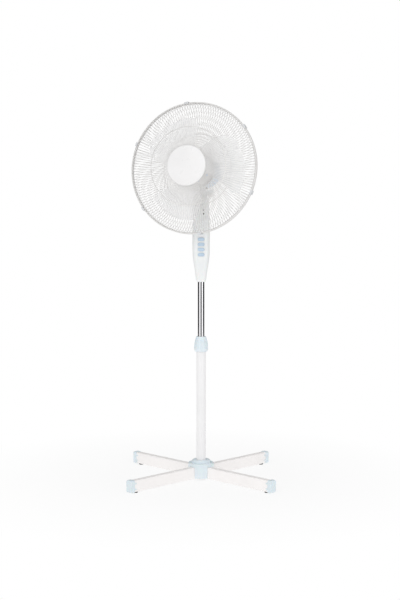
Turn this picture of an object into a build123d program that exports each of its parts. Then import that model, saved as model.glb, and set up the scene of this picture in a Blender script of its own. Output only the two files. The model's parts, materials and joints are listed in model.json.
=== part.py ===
from build123d import *
import os
from math import acos, atan2, cos, hypot, pi, radians, sin, sqrt

os.makedirs("parts", exist_ok=True)

# A pedestal fan: a cross base of two lapped square tubes, a telescopic pole, a control
# housing with four push buttons, and a tilting, oscillating head with a wire cage.
# Millimetres, +Z up, origin on the floor under the pole, front of the fan towards -Y.

# ---- base ----
tip_radius = 328.0          # pole axis to the end of a leg cap
foot_height = 4.0
leg_width = 22.0
leg_height = 38.0
leg_wall = 1.2
leg_corner = 3.0
lap_gap = 0.3
leg_angles = {"front_left": 225, "front_right": 315, "rear_right": 45, "rear_left": 135}
cap_wall = 1.6
cap_end = 2.5
cap_sleeve = 15.0
foot_inset = 28.0
foot_radius = 8.0
stem_radius = 3.3
flange_radius = 35.0
flange_thickness = 3.0
flange_screw_circle = 26.0
flange_screw_radius = 2.5
stub_top = 75.0
hub_radius = 43.0
hub_skirt_bottom = 5.0
hub_deck = 54.0             # top of the wide hub disc
hub_dome_radius = 31.75
hub_top = 64.0
hub_wall = 2.2
pole_screw_height = 57.0

# ---- pole ----
outer_pole_radius = 16.0
outer_pole_bore = 14.5
outer_pole_top = 442.0
inner_pole_radius = 11.0
inner_pole_bore = 10.0
inner_pole_bottom = 255.0
inner_pole_top = 700.0
sliding_fit = 0.1           # radial clearance of the inner pole in its socket
cover_gap = 0.4             # clearance between covers that turn or slide
collar_bottom = 432.0
collar_top = 482.0
rib_count = 16

# ---- control housing ----
housing_bottom = 666.0
housing_top = 945.0
housing_foot = 30.0         # width and depth where it grips the inner pole
housing_width = 57.5
housing_depth = 47.0
housing_flare = 110.0       # height over which it swells to full size
housing_shoulder = 835.0    # above this it narrows again towards the neck
housing_sections = 9
housing_rounding = 0.4      # corner radius as a share of the depth
housing_wall = 2.4
hollow_bottom = 702.0
hollow_top = 940.0
button_width = 22.0
button_height = 10.5
button_pitch = 17.0
lowest_button = 757.5
button_face = -26.6
button_names = ["button_high", "button_medium", "button_low", "button_off"]
housing_screw_heights = [714.0, 848.0, 925.0]
grommet_height = 775.0
sight_hole_radius = 3.0
sight_hole_side = 7.5
sight_hole_heights = (893.0, 905.5)
sight_hole_floor = 12.0

# ---- tilt hinge ----
pivot_height = 960.0
tilt_rest = 7.5             # the head looks up by this angle at rest
turn_rest = 19.0            # and is turned to its own right by this angle
ear_radius = 12.0
ear_inner = 10.4
ear_outer = 17.4
lug_half_width = 10.0
lug_radius = 11.0
bolt_radius = 3.0
running_fit = 0.05
socket_radius = 15.0
socket_bottom = 13.6
socket_top = 25.4
arm_reach = 28.0            # spindle axis to the pin that the oscillation link pushes on
arm_bearing = 140.8         # the arm's direction on the neck, from its own right
arm_bottom = 12.8
arm_top = 15.4

# ---- head, measured along the motor axis from the spindle, forwards positive ----
motor_above_pivot = 74.0
spindle_radius = 5.0
ring_radius = 214.0
ring_wire = 3.0
rear_ring_station = 72.6
front_ring_station = 79.4
wire_radius = 0.9
wire_count = 144
support_wire = 1.2
weld_gap = 0.02
cap_radius = 66.5
cap_front = 152.0
shell_radius = 48.0
shell_bore = 46.0
shell_front = 28.0
shell_split = 8.0
stator_radius = 38.0
stator_half_length = 14.0
rotor_radius = 19.0
shaft_radius = 4.0
shaft_front = 112.0
nose_radius = 15.0
blade_tip = 172.0
blade_thickness = 2.2
hub_cup_radius = 37.0
hub_rear = 61.0
hub_front = 101.0

# ---- oscillation gearing ----
gear_module = 0.7
worm_teeth = 32
pinion_teeth = 8
crank_teeth = 32
worm_pitch_radius = 3.2
worm_station = -42.0
crank_throw = 14.0
link_length = 35.4
link_bottom = 17.6
link_top = 20.1
crank_bottom = 20.5
crank_top = 23.6

# ---- values that follow ----
leg_bottom = foot_height
leg_mid = foot_height + leg_height / 2
leg_top = foot_height + leg_height
tube_half_length = tip_radius - cap_end
pivot = Vector(0, 0, pivot_height)
right = Vector(1, 0, 0)
up = Vector(0, sin(radians(tilt_rest)), cos(radians(tilt_rest)))
neck_front = Vector(0, -cos(radians(tilt_rest)), sin(radians(tilt_rest)))
forward = neck_front * cos(radians(turn_rest)) - right * sin(radians(turn_rest))
side = right * cos(radians(turn_rest)) + neck_front * sin(radians(turn_rest))
motor_centre = pivot + up * motor_above_pivot

neck_plane = Plane(origin=pivot, x_dir=right, z_dir=up)
swivel_plane = Plane(origin=pivot, x_dir=side, z_dir=up)
head_plane = Plane(origin=motor_centre, x_dir=side, z_dir=forward)
head_profile = Plane(origin=motor_centre, x_dir=side, z_dir=up * -1)


def turned(plane, outline):
    """A closed (radius, height) outline turned about the plane's own Y axis."""
    with BuildPart() as piece:
        with BuildSketch(plane):
            with BuildLine():
                Polyline(*outline, close=True)
            make_face()
        revolve(axis=Axis(plane.origin, plane.y_dir))
    return piece.part


def rod(plane, radius, length, bore=0.0):
    """A round bar, or a tube when it has a bore, standing on the plane."""
    with BuildPart() as piece:
        with BuildSketch(plane):
            Circle(radius)
            if bore > 0:
                Circle(bore, mode=Mode.SUBTRACT)
        extrude(amount=length)
    return piece.part


def screw(seat, shank_radius, shank_length, head_radius, head_height):
    """A pan-head screw whose head stands on the seat plane, with a cross recess."""
    with BuildPart() as piece:
        with BuildSketch(seat):
            Circle(head_radius)
        extrude(amount=head_height)
        rim = piece.faces().sort_by(Axis(seat.origin, seat.z_dir))[-1].edges()
        fillet(rim, head_height * 0.4)
        with BuildSketch(seat.offset(head_height)):
            Rectangle(head_radius * 1.2, head_radius * 0.25)
            Rectangle(head_radius * 0.25, head_radius * 1.2)
        extrude(amount=-head_height * 0.5, mode=Mode.SUBTRACT)
        with BuildSketch(seat):
            Circle(shank_radius)
        extrude(amount=-shank_length)
    return piece.part


# ---- base: two square tubes half-lapped into a cross ----
def leg_section(degrees_from_x):
    """The plane across a leg through the pole axis, with local Y up."""
    turn = radians(degrees_from_x)
    return Plane(origin=(0, 0, leg_mid), x_dir=(-sin(turn), cos(turn), 0),
                 z_dir=(cos(turn), sin(turn), 0))


def leg_tube(degrees_from_x, lap_side):
    """One tube of the cross: lap_side +1 cuts its upper half at the middle, -1 the lower."""
    section = leg_section(degrees_from_x)
    deck = Plane(origin=(0, 0, leg_mid), x_dir=section.z_dir, z_dir=(0, 0, 1))
    with BuildPart() as tube:
        with BuildSketch(section):
            RectangleRounded(leg_width, leg_height, leg_corner)
            RectangleRounded(leg_width - 2 * leg_wall, leg_height - 2 * leg_wall,
                             leg_corner - leg_wall, mode=Mode.SUBTRACT)
        extrude(amount=tube_half_length, both=True)
        with BuildSketch(deck.offset(-lap_side * lap_gap / 2)):
            Rectangle(leg_width + 2 * lap_gap, leg_width * 2)
        extrude(amount=lap_side * leg_height, mode=Mode.SUBTRACT)
        with BuildSketch(deck):
            with Locations((-flange_screw_circle, 0), (flange_screw_circle, 0)):
                Circle(flange_screw_radius + 0.1)
        extrude(amount=leg_height, mode=Mode.SUBTRACT)
        with BuildSketch(deck):
            with Locations((foot_inset - tip_radius, 0), (tip_radius - foot_inset, 0)):
                Circle(stem_radius + 0.2)
        extrude(amount=-leg_height, mode=Mode.SUBTRACT)
    return tube.part


with BuildPart() as cross_leg_lower:
    add(leg_tube(leg_angles["rear_right"], 1))
cross_leg_lower.part.label = "cross_leg_lower"
export_step(cross_leg_lower.part, "parts/cross_leg_lower.step")

with BuildPart() as cross_leg_upper:
    add(leg_tube(leg_angles["rear_left"], -1))
cross_leg_upper.part.label = "cross_leg_upper"
export_step(cross_leg_upper.part, "parts/cross_leg_upper.step")

# ---- leg caps: a sleeve over the tube end, with fingers along it and a plug inside ----
cap_low = leg_bottom - cap_wall
cap_high = leg_top + cap_wall
cap_height = cap_high - cap_low
finger_length = 7.0
finger_width = 5.0
for corner, angle in leg_angles.items():
    section = leg_section(angle)
    turn = radians(angle)
    cap_side = Plane(origin=(0, 0, leg_mid), x_dir=(cos(turn), sin(turn), 0),
                     z_dir=(sin(turn), -cos(turn), 0))
    with BuildPart() as leg_cap:
        with BuildSketch(section.offset(tip_radius - cap_sleeve)):
            RectangleRounded(leg_width + 2 * cap_wall, cap_height, leg_corner + cap_wall)
        extrude(amount=cap_sleeve)
        with BuildSketch(section.offset(tip_radius - cap_sleeve)):
            with Locations((-leg_width / 2 - cap_wall / 2, 0), (leg_width / 2 + cap_wall / 2, 0)):
                with GridLocations(1, cap_height / 2 - 2, 1, 2):
                    Rectangle(cap_wall, finger_width)
        extrude(amount=-finger_length)
        with BuildSketch(section.offset(tip_radius - cap_sleeve - finger_length)):
            RectangleRounded(leg_width, leg_height, leg_corner)
        extrude(amount=cap_sleeve + finger_length - cap_end, mode=Mode.SUBTRACT)
        with BuildSketch(cap_side):
            with Locations((tip_radius, -cap_height / 2)):
                Rectangle(14, 14)
                with Locations((-7, 7)):
                    Circle(7, mode=Mode.SUBTRACT)
            with Locations((tip_radius - 14, 0)):
                Rectangle(14, cap_height * 2, mode=Mode.SUBTRACT)
            with Locations((tip_radius, -cap_height / 2 + 14)):
                Rectangle(14, 14, mode=Mode.SUBTRACT)
        extrude(amount=leg_width, both=True, mode=Mode.SUBTRACT)
        with BuildSketch(section.offset(tip_radius - cap_end)):
            RectangleRounded(leg_width - 2 * leg_wall - 0.2, leg_height - 2 * leg_wall - 0.2, 1.6)
            RectangleRounded(leg_width - 2 * leg_wall - 3.6, leg_height - 2 * leg_wall - 3.6, 0.8,
                             mode=Mode.SUBTRACT)
        extrude(amount=-12)
    leg_cap.part.label = f"leg_cap_{corner}"
    export_step(leg_cap.part, f"parts/leg_cap_{corner}.step")

# ---- feet: rubber studs pushed through the bottom wall of each leg ----
for corner, angle in leg_angles.items():
    reach = tip_radius - foot_inset
    turn = radians(angle)
    foot_axis = Plane(origin=(reach * cos(turn), reach * sin(turn), 0), x_dir=(1, 0, 0),
                      z_dir=(0, -1, 0))
    barb_bottom = leg_bottom + leg_wall
    with BuildPart() as foot:
        add(turned(foot_axis, [
            (0, 0), (foot_radius - 1, 0), (foot_radius, 1), (foot_radius - 0.6, leg_bottom),
            (stem_radius, leg_bottom), (stem_radius, barb_bottom), (stem_radius + 1.3, barb_bottom),
            (stem_radius, barb_bottom + 2.5), (0, barb_bottom + 2.5),
        ]))
    foot.part.label = f"foot_{corner}"
    export_step(foot.part, f"parts/foot_{corner}.step")

# ---- pole flange: a steel plate on the legs with a stub that carries the pole ----
flange_top = leg_top + flange_thickness
stub_radius = outer_pole_bore - 0.1
stub_bore = stub_radius - 2.4
with BuildPart() as pole_flange:
    add(turned(Plane.XZ, [
        (stub_bore, leg_top), (flange_radius, leg_top), (flange_radius, flange_top),
        (stub_radius, flange_top), (stub_radius, stub_top), (stub_bore, stub_top),
    ]))
    with BuildSketch(Plane.XY.offset(leg_top)):
        with PolarLocations(flange_screw_circle, 4, start_angle=45):
            Circle(flange_screw_radius + 0.1)
    extrude(amount=flange_thickness, mode=Mode.SUBTRACT)
    with BuildSketch(Plane.XZ.offset(-outer_pole_radius)):
        with Locations((0, pole_screw_height)):
            Circle(flange_screw_radius)
    extrude(amount=outer_pole_radius, mode=Mode.SUBTRACT)
pole_flange.part.label = "pole_flange"
export_step(pole_flange.part, "parts/pole_flange.step")

with BuildPart() as flange_screws:
    with BuildSketch(Plane.XY.offset(flange_top)):
        with PolarLocations(flange_screw_circle, 4, start_angle=45):
            Circle(4.5)
    extrude(amount=3)
    with BuildSketch(Plane.XY.offset(flange_top + 1.4)):
        with PolarLocations(flange_screw_circle, 4, start_angle=45):
            Rectangle(5.5, 1.1)
            Rectangle(1.1, 5.5)
    extrude(amount=2, mode=Mode.SUBTRACT)
    with BuildSketch(Plane.XY.offset(flange_top)):
        with PolarLocations(flange_screw_circle, 4, start_angle=45):
            Circle(flange_screw_radius)
    extrude(amount=-12)
flange_screws.part.label = "flange_screws"
export_step(flange_screws.part, "parts/flange_screws.step")

# ---- base hub: a plastic cup over the crossing, its skirt closing the leg corners ----
hub_inner = hub_radius - hub_wall
dome_inner = hub_dome_radius - hub_wall
hub_hole = outer_pole_radius + 0.5
with BuildPart() as base_hub:
    with BuildSketch(Plane.XZ):
        with BuildLine():
            Line((hub_inner, hub_skirt_bottom), (hub_radius, hub_skirt_bottom))
            Line((hub_radius, hub_skirt_bottom), (hub_radius, hub_deck - 3))
            RadiusArc((hub_radius, hub_deck - 3), (hub_radius - 3, hub_deck), -3)
            Line((hub_radius - 3, hub_deck), (hub_dome_radius, hub_deck))
            Line((hub_dome_radius, hub_deck), (hub_dome_radius, hub_top - 7))
            RadiusArc((hub_dome_radius, hub_top - 7), (hub_dome_radius - 7, hub_top), -7)
            Line((hub_dome_radius - 7, hub_top), (hub_hole, hub_top))
            Line((hub_hole, hub_top), (hub_hole, hub_top - hub_wall))
            Line((hub_hole, hub_top - hub_wall), (dome_inner - 5, hub_top - hub_wall))
            RadiusArc((dome_inner - 5, hub_top - hub_wall), (dome_inner, hub_top - hub_wall - 5), 5)
            Line((dome_inner, hub_top - hub_wall - 5), (dome_inner, hub_deck - hub_wall))
            Line((dome_inner, hub_deck - hub_wall), (hub_inner, hub_deck - hub_wall))
            Line((hub_inner, hub_deck - hub_wall), (hub_inner, hub_skirt_bottom))
        make_face()
    revolve(axis=Axis.Z)
    for angle in (leg_angles["rear_right"], leg_angles["rear_left"]):
        with BuildSketch(leg_section(angle)):
            with Locations((0, -leg_height / 2)):
                Rectangle(leg_width + 0.6, leg_height * 2 + 0.4)
        extrude(amount=hub_radius * 2, both=True, mode=Mode.SUBTRACT)
base_hub.part.label = "base_hub"
export_step(base_hub.part, "parts/base_hub.step")

# ---- outer pole and the set screw that holds it to the stub ----
with BuildPart() as outer_pole:
    add(rod(Plane.XY.offset(flange_top), outer_pole_radius, outer_pole_top - flange_top,
            bore=outer_pole_bore))
    with BuildSketch(Plane.XZ.offset(-outer_pole_radius - 1)):
        with Locations((0, pole_screw_height)):
            Circle(flange_screw_radius + 0.1)
    extrude(amount=outer_pole_radius, mode=Mode.SUBTRACT)
outer_pole.part.label = "outer_pole"
export_step(outer_pole.part, "parts/outer_pole.step")

pole_screw_seat = Plane(origin=(0, outer_pole_radius, pole_screw_height), x_dir=(1, 0, 0),
                        z_dir=(0, 1, 0))
with BuildPart() as pole_screw:
    add(screw(pole_screw_seat, flange_screw_radius, 5.5, 4.0, 2.6))
pole_screw.part.label = "pole_screw"
export_step(pole_screw.part, "parts/pole_screw.step")

# ---- pole socket: a slit plastic collet in the top of the outer pole ----
socket_bore = inner_pole_radius + sliding_fit
socket_plug_bottom = outer_pole_top - 25
collet_shoulder = 462.0
collet_top = 476.0
thread_radius = 16.5
collet_tip_radius = 13.4
with BuildPart() as pole_socket:
    add(turned(Plane.XZ, [
        (socket_bore, socket_plug_bottom), (outer_pole_bore - 0.1, socket_plug_bottom),
        (outer_pole_bore - 0.1, outer_pole_top), (thread_radius, outer_pole_top),
        (thread_radius, collet_shoulder), (collet_tip_radius, collet_top),
        (socket_bore, collet_top),
    ]))
    with BuildSketch(Plane.XY.offset(collet_top)):
        Rectangle(40, 1.5)
        Rectangle(1.5, 40)
    extrude(amount=-20, mode=Mode.SUBTRACT)
pole_socket.part.label = "pole_socket"
export_step(pole_socket.part, "parts/pole_socket.step")

# ---- height collar: a ribbed twist nut that squeezes the collet on the inner pole ----
collar_bore = thread_radius + cover_gap
collar_tip_bore = collet_tip_radius + cover_gap
collar_mouth = inner_pole_radius + 0.6
collar_foot_radius = 20.75
collar_belly_radius = 23.0
collar_belly = 441.0
collar_waist_radius = 20.2
collar_waist = 464.0
collar_neck_radius = 16.2
with BuildPart() as height_collar:
    with BuildSketch(Plane.XZ):
        with BuildLine():
            ThreePointArc((collar_foot_radius, collar_bottom), (22.4, 435), (collar_belly_radius, collar_belly))
            ThreePointArc((collar_belly_radius, collar_belly), (collar_waist_radius + 1.2, 457),
                          (collar_neck_radius, collar_top))
            Polyline((collar_neck_radius, collar_top), (collar_mouth, collar_top),
                     (collar_mouth, collet_top + cover_gap), (collar_tip_bore, collet_top + cover_gap),
                     (collar_bore, collet_shoulder + cover_gap), (collar_bore, collar_bottom),
                     (collar_foot_radius, collar_bottom))
        make_face()
    revolve(axis=Axis.Z)
    with BuildSketch(Plane.XZ):
        with BuildLine():
            ThreePointArc((collar_belly_radius + 0.2, collar_belly + 2), (collar_waist_radius + 2.0, 459),
                          (collar_neck_radius + 1.2, collar_top - 4))
            Polyline((collar_neck_radius + 1.2, collar_top - 4), (collar_neck_radius - 0.6, collar_top - 3),
                     (collar_waist_radius - 1.5, 459), (collar_belly_radius - 1, collar_belly + 1),
                     (collar_belly_radius + 0.2, collar_belly + 2))
        make_face()
    rib = extrude(amount=0.9, both=True)
    with PolarLocations(0, rib_count):
        add(rib)
height_collar.part.label = "height_collar"
export_step(height_collar.part, "parts/height_collar.step")

# ---- inner pole and the glide bush at its lower end ----
clamp_screw_height = 684.0
with BuildPart() as inner_pole:
    add(rod(Plane.XY.offset(inner_pole_bottom), inner_pole_radius, inner_pole_top - inner_pole_bottom,
            bore=inner_pole_bore))
    with BuildSketch(Plane.XZ.offset(-inner_pole_radius - 1)):
        with Locations((0, clamp_screw_height)):
            Circle(2.6)
    extrude(amount=inner_pole_radius, mode=Mode.SUBTRACT)
inner_pole.part.label = "inner_pole"
export_step(inner_pole.part, "parts/inner_pole.step")

glide_radius = outer_pole_bore - 0.3
with BuildPart() as pole_glide:
    add(turned(Plane.XZ, [
        (9, inner_pole_bottom - 3), (glide_radius, inner_pole_bottom - 3),
        (glide_radius, inner_pole_bottom + 18), (inner_pole_radius, inner_pole_bottom + 18),
        (inner_pole_radius, inner_pole_bottom), (9, inner_pole_bottom),
    ]))
pole_glide.part.label = "pole_glide"
export_step(pole_glide.part, "parts/pole_glide.step")


# ---- control housing: a tapered hollow shell parted into front and rear halves ----
def housing_size(height):
    """Width and depth of the housing: a swelling foot, then a slight taper to the neck."""
    swell = sin(min(1, (height - housing_bottom) / housing_flare) * pi / 2) ** 1.25
    narrow = max(0, (height - housing_shoulder) / (housing_top - housing_shoulder))
    width = housing_foot + (housing_width - housing_foot) * swell - 7.5 * narrow ** 1.6
    depth = housing_foot + (housing_depth - housing_foot) * swell - 11.0 * narrow ** 1.3
    return width, depth


def housing_block(inset, bottom, top):
    """The housing's rounded taper between two heights, shrunk all round by the inset."""
    with BuildPart() as block:
        for step in range(housing_sections + 1):
            height = bottom + (top - bottom) * step / housing_sections
            width, depth = housing_size(height)
            with BuildSketch(Plane.XY.offset(height)):
                RectangleRounded(width - 2 * inset, depth - 2 * inset,
                                 housing_rounding * depth - inset * 0.6)
        loft()
    return block.part


screw_boss_radius = 5.5
screw_well_radius = 4.0
screw_seat_y = 12.0
clamp_seat_y = 13.4
button_heights = [lowest_button + button_pitch * row for row in range(4)]
switch_front = -12.0
switch_centre = lowest_button + 1.5 * button_pitch
post_heights = [switch_centre - 41, switch_centre + 41]

with BuildPart() as housing_shell:
    add(housing_block(0, housing_bottom, housing_top))
    add(housing_block(housing_wall, hollow_bottom, hollow_top), mode=Mode.SUBTRACT)
    with BuildSketch(Plane.XY.offset(housing_bottom)):
        Circle(inner_pole_radius)
    extrude(amount=hollow_bottom - housing_bottom, mode=Mode.SUBTRACT)
    with BuildSketch(Plane.XY.offset(housing_top)):
        Circle(4)
    extrude(amount=hollow_top - housing_top, mode=Mode.SUBTRACT)

screw_row = [(0, height) for height in housing_screw_heights]
with BuildPart() as control_housing_front:
    add(housing_shell.part)
    split(bisect_by=Plane.XZ, keep=Keep.TOP)
    for height in housing_screw_heights:
        with BuildSketch(Plane.XZ):
            with Locations((0, height)):
                Circle(screw_well_radius)
                Circle(1.5, mode=Mode.SUBTRACT)
        extrude(amount=housing_size(height)[1] / 2 - 1)
    for height in post_heights:
        with BuildSketch(Plane.XZ.offset(-switch_front)):
            with Locations((0, height)):
                Circle(3)
        extrude(amount=switch_front + housing_size(height)[1] / 2 - 1)
    with BuildSketch(Plane.XZ.offset(13)):
        with Locations(*[(0, height) for height in button_heights]):
            SlotOverall(button_width + 2 * cover_gap, button_height + 2 * cover_gap)
    extrude(amount=15, mode=Mode.SUBTRACT)
    with BuildSketch(Plane.XZ.offset(sight_hole_floor)):
        with Locations(*[(sight_hole_side, height) for height in sight_hole_heights]):
            Circle(sight_hole_radius)
    extrude(amount=15, mode=Mode.SUBTRACT)
control_housing_front.part.label = "control_housing_front"
export_step(control_housing_front.part, "parts/control_housing_front.step")

with BuildPart() as control_housing_rear:
    add(housing_shell.part)
    split(bisect_by=Plane.XZ, keep=Keep.BOTTOM)
    for height in housing_screw_heights:
        with BuildSketch(Plane.XZ):
            with Locations((0, height)):
                Circle(screw_boss_radius)
        extrude(amount=1 - housing_size(height)[1] / 2)
    with BuildSketch(Plane.XZ.offset(-screw_seat_y)):
        with Locations(*screw_row):
            Circle(screw_well_radius)
    extrude(amount=-15, mode=Mode.SUBTRACT)
    with BuildSketch(Plane.XZ):
        with Locations(*screw_row):
            Circle(1.6)
        with Locations((0, clamp_screw_height)):
            Circle(2.6)
        with Locations((0, grommet_height)):
            Circle(5.5)
    extrude(amount=-30, mode=Mode.SUBTRACT)
    with BuildSketch(Plane.XZ.offset(-clamp_seat_y)):
        with Locations((0, clamp_screw_height)):
            Circle(4.8)
    extrude(amount=-10, mode=Mode.SUBTRACT)
control_housing_rear.part.label = "control_housing_rear"
export_step(control_housing_rear.part, "parts/control_housing_rear.step")

with BuildPart() as housing_screws:
    for height in housing_screw_heights:
        seat = Plane(origin=(0, screw_seat_y, height), x_dir=(1, 0, 0), z_dir=(0, 1, 0))
        add(screw(seat, 1.5, 24, 3.2, 2.2))
housing_screws.part.label = "housing_screws"
export_step(housing_screws.part, "parts/housing_screws.step")

with BuildPart() as pole_clamp_screw:
    seat = Plane(origin=(0, clamp_seat_y, clamp_screw_height), x_dir=(1, 0, 0), z_dir=(0, 1, 0))
    add(screw(seat, 2.5, clamp_seat_y - 6, 4.2, 2.6))
pole_clamp_screw.part.label = "pole_clamp_screw"
export_step(pole_clamp_screw.part, "parts/pole_clamp_screw.step")

# ---- switch block behind the buttons, run capacitor and cord grommet ----
stem_width = 6.0
stem_height = 4.0
stem_end = -7.5
slot_bottom = -2.5
with BuildPart() as switch_block:
    with BuildSketch(Plane.XZ.offset(-switch_front)):
        with Locations((0, switch_centre)):
            RectangleRounded(18, 90, 2)
    extrude(amount=-2)
    with BuildSketch(Plane.XZ.offset(-switch_front)):
        with Locations((0, switch_centre)):
            Rectangle(18, 72)
    extrude(amount=-16)
    with BuildSketch(Plane.XZ.offset(-switch_front)):
        with Locations(*[(0, height) for height in button_heights]):
            Rectangle(stem_width + 2 * cover_gap, stem_height + 2 * cover_gap)
    extrude(amount=switch_front - slot_bottom, mode=Mode.SUBTRACT)
switch_block.part.label = "switch_block"
export_step(switch_block.part, "parts/switch_block.step")

with BuildPart() as run_capacitor:
    with BuildSketch(Plane.XY.offset(862)):
        with Locations((0, 6)):
            RectangleRounded(34, 13, 1)
    extrude(amount=28)
run_capacitor.part.label = "run_capacitor"
export_step(run_capacitor.part, "parts/run_capacitor.step")

grommet_surface = housing_size(grommet_height)[1] / 2
grommet_axis = Plane(origin=(0, grommet_surface, grommet_height), x_dir=(1, 0, 0), z_dir=(0, 0, 1))
with BuildPart() as cord_grommet:
    add(turned(grommet_axis, [
        (3.2, -5.5), (6.6, -5.5), (6.6, -3.2), (5.4, -3.2), (5.4, 0.3), (7.2, 0.3), (6.2, 3.3),
        (4.6, 8.0), (3.2, 8.0),
    ]))
cord_grommet.part.label = "cord_grommet"
export_step(cord_grommet.part, "parts/cord_grommet.step")

# ---- push buttons: an oval key, a retaining flange and a stem into the switch ----
flange_front = -20.0
for name, height in zip(button_names, button_heights):
    with BuildPart() as button:
        with BuildSketch(Plane.XZ.offset(-flange_front)):
            with Locations((0, height)):
                SlotOverall(button_width, button_height)
        extrude(amount=flange_front - button_face)
        fillet(button.faces().sort_by(Axis.Y)[0].edges(), 1.4)
        with BuildSketch(Plane.XZ.offset(-flange_front)):
            with Locations((0, height)):
                SlotOverall(button_width + 3, button_height + 3)
        extrude(amount=-1.5)
        with BuildSketch(Plane.XZ.offset(-flange_front)):
            with Locations((0, height)):
                Rectangle(stem_width, stem_height)
        extrude(amount=flange_front - stem_end)
    button.part.label = name
    export_step(button.part, f"parts/{name}.step")

# ---- tilt hinge: a fork on the housing, its bolt, and the locking knob ----
fork_deck = 948.0
with BuildPart() as neck_fork:
    with BuildSketch(Plane.XY.offset(housing_top)):
        RectangleRounded(44, 32, 12)
    extrude(amount=fork_deck - housing_top)
    for start in (-ear_outer, ear_inner):
        with BuildSketch(Plane.YZ.offset(start)):
            with Locations((0, pivot_height)):
                Circle(ear_radius)
            with Locations((0, (pivot_height + housing_top + 1) / 2)):
                Rectangle(2 * ear_radius, pivot_height - housing_top - 1)
            with Locations((0, pivot_height)):
                Circle(bolt_radius + running_fit, mode=Mode.SUBTRACT)
        extrude(amount=ear_outer - ear_inner)
    with BuildSketch(Plane.XY.offset(housing_top)):
        Circle(4)
    extrude(amount=fork_deck - housing_top, mode=Mode.SUBTRACT)
neck_fork.part.label = "neck_fork"
export_step(neck_fork.part, "parts/neck_fork.step")

bolt_end = 34.0
with BuildPart() as tilt_bolt:
    with BuildSketch(Plane.YZ.offset(-ear_outer)):
        with Locations((0, pivot_height)):
            RegularPolygon(5.5, 6)
    extrude(amount=-4)
    with BuildSketch(Plane.YZ.offset(-ear_outer)):
        with Locations((0, pivot_height)):
            Circle(bolt_radius)
    extrude(amount=ear_outer + bolt_end)
tilt_bolt.part.label = "tilt_bolt"
export_step(tilt_bolt.part, "parts/tilt_bolt.step")

knob_start = ear_outer + cover_gap
knob_neck_end = 26.0
knob_end = 40.0
knob_radius = 13.0
with BuildPart() as tilt_knob:
    with BuildSketch(Plane.YZ.offset(knob_start)):
        with Locations((0, pivot_height)):
            Circle(8)
    extrude(amount=knob_neck_end - knob_start)
    with BuildSketch(Plane.YZ.offset(knob_neck_end)):
        with Locations((0, pivot_height)):
            Circle(knob_radius)
            with PolarLocations(knob_radius + 2.5, 8):
                Circle(4.5, mode=Mode.SUBTRACT)
    extrude(amount=knob_end - knob_neck_end)
    fillet(tilt_knob.faces().sort_by(Axis.X)[-1].edges(), 1.5)
    with BuildSketch(Plane.YZ.offset(knob_start)):
        with Locations((0, pivot_height)):
            Circle(bolt_radius + running_fit)
    extrude(amount=bolt_end - knob_start + 1, mode=Mode.SUBTRACT)
tilt_knob.part.label = "tilt_knob"
export_step(tilt_knob.part, "parts/tilt_knob.step")

# ---- neck: the lug on the tilt bolt, the spindle socket and the link arm ----
neck_side = Plane(origin=pivot, x_dir=neck_front * -1, z_dir=right)
spindle_hole_bottom = 6.5
arm_end = (arm_reach * cos(radians(arm_bearing)), arm_reach * sin(radians(arm_bearing)))
with BuildPart() as tilt_neck:
    with BuildSketch(neck_side):
        Circle(lug_radius)
        with Locations((0, socket_bottom / 2)):
            Rectangle(2 * lug_radius, socket_bottom)
    extrude(amount=lug_half_width, both=True)
    with BuildSketch(neck_plane.offset(socket_bottom)):
        Circle(socket_radius)
    extrude(amount=socket_top - socket_bottom)
    with BuildSketch(neck_plane.offset(arm_bottom)):
        SlotCenterPoint((arm_end[0] / 2, arm_end[1] / 2), arm_end, 8)
    extrude(amount=arm_top - arm_bottom)
    with BuildSketch(neck_plane.offset(arm_top)):
        with Locations(arm_end):
            Circle(2)
    extrude(amount=link_top - arm_top)
    with BuildSketch(neck_plane.offset(spindle_hole_bottom)):
        Circle(spindle_radius + running_fit)
    extrude(amount=socket_top, mode=Mode.SUBTRACT)
    with BuildSketch(neck_side):
        Circle(bolt_radius + running_fit)
    extrude(amount=lug_half_width, both=True, mode=Mode.SUBTRACT)
tilt_neck.part.label = "tilt_neck"
export_step(tilt_neck.part, "parts/tilt_neck.step")

# ---- spindle, thrust washer and the saddle that carries the motor on them ----
saddle_bottom = 30.0
saddle_top = 35.5
saddle_boss_bottom = 26.8
spindle_bottom = spindle_hole_bottom + 0.5
with BuildPart() as oscillation_spindle:
    add(rod(swivel_plane.offset(spindle_bottom), spindle_radius, saddle_top - spindle_bottom))
oscillation_spindle.part.label = "oscillation_spindle"
export_step(oscillation_spindle.part, "parts/oscillation_spindle.step")

with BuildPart() as thrust_washer:
    add(rod(swivel_plane.offset(socket_top + 0.1), 9, saddle_boss_bottom - socket_top - 0.1,
            bore=spindle_radius))
thrust_washer.part.label = "thrust_washer"
export_step(thrust_washer.part, "parts/thrust_washer.step")

saddle_half_width = 10.0
shield_face = stator_half_length + 0.5
saddle_wall = 4.0
saddle_half_length = shield_face + 8.0
with BuildPart() as motor_saddle:
    with BuildSketch(swivel_plane.offset(saddle_bottom)):
        Rectangle(2 * saddle_half_width, 2 * saddle_half_length)
    extrude(amount=saddle_top - saddle_bottom)
    with BuildSketch(swivel_plane.offset(saddle_boss_bottom)):
        Circle(9.5)
    extrude(amount=saddle_bottom - saddle_boss_bottom)
    with BuildSketch(swivel_plane.offset(saddle_boss_bottom)):
        Circle(spindle_radius)
    extrude(amount=saddle_top, mode=Mode.SUBTRACT)
motor_saddle.part.label = "motor_saddle"
export_step(motor_saddle.part, "parts/motor_saddle.step")

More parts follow.
